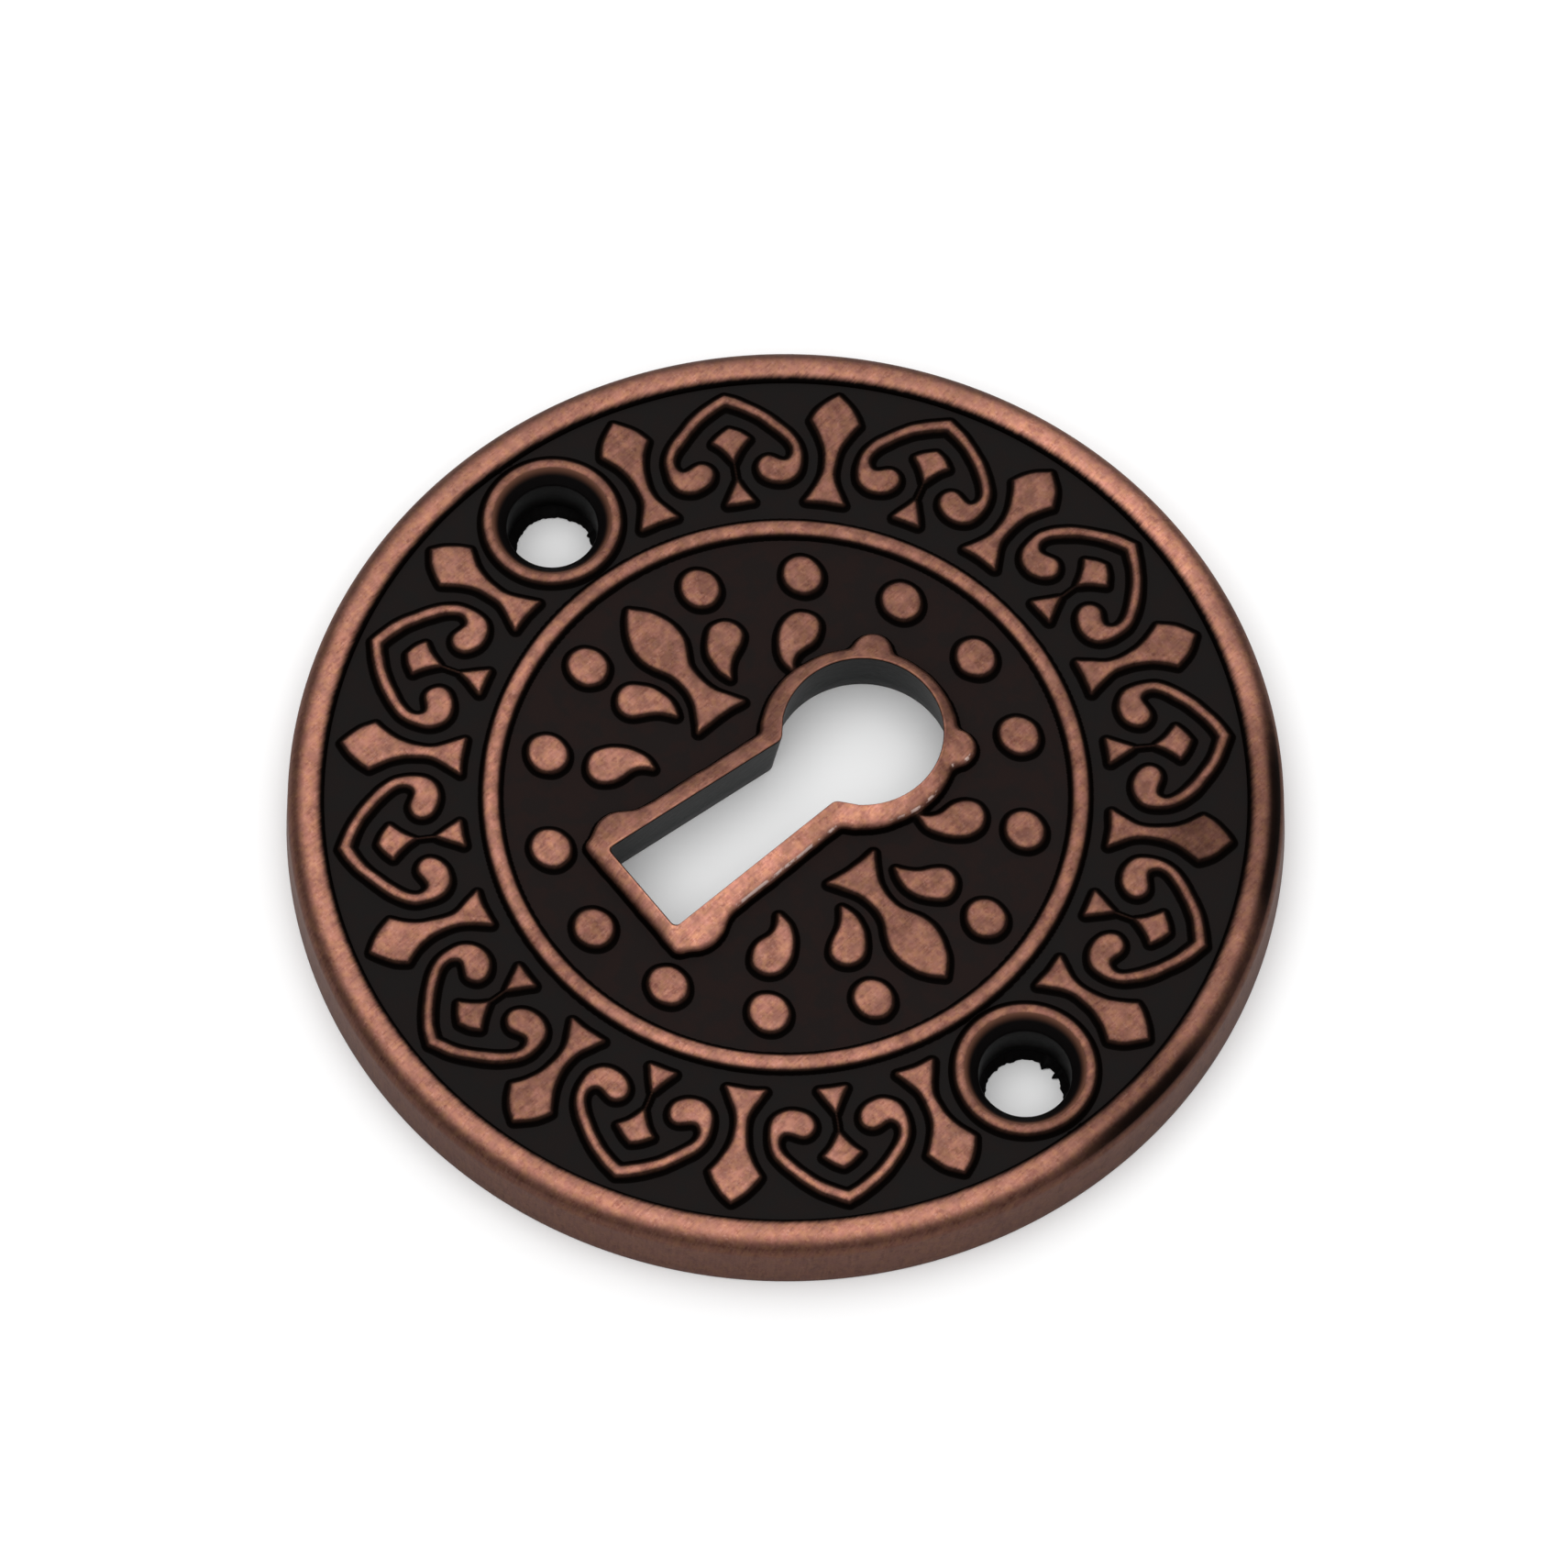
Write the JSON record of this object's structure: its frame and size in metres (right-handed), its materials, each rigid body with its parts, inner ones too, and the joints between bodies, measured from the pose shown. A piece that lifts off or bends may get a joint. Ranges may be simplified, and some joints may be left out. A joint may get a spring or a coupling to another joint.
{
  "type": "keyhole escutcheon",
  "caption": "Round keyhole escutcheon, antique copper look, with a raised collar round the keyhole, a ring of dots, a band of hearts and stems, and countersunk screw holes.",
  "frame": {"origin": "centre of the round plate, on the back face that rests on the door", "axes": "+Z out of the door towards the viewer; X through both screw holes; +Y from the slot of the keyhole towards its round end"},
  "size_m": [0.05, 0.05, 0.0041],
  "materials": {
    "plated_casting": "antique copper: dark in the sunk fields, rubbed bright and finely brushed on the raised ornament"
  },
  "bodies": {
    "root": {"escutcheon": "plated_casting"}
  },
  "joints": []
}
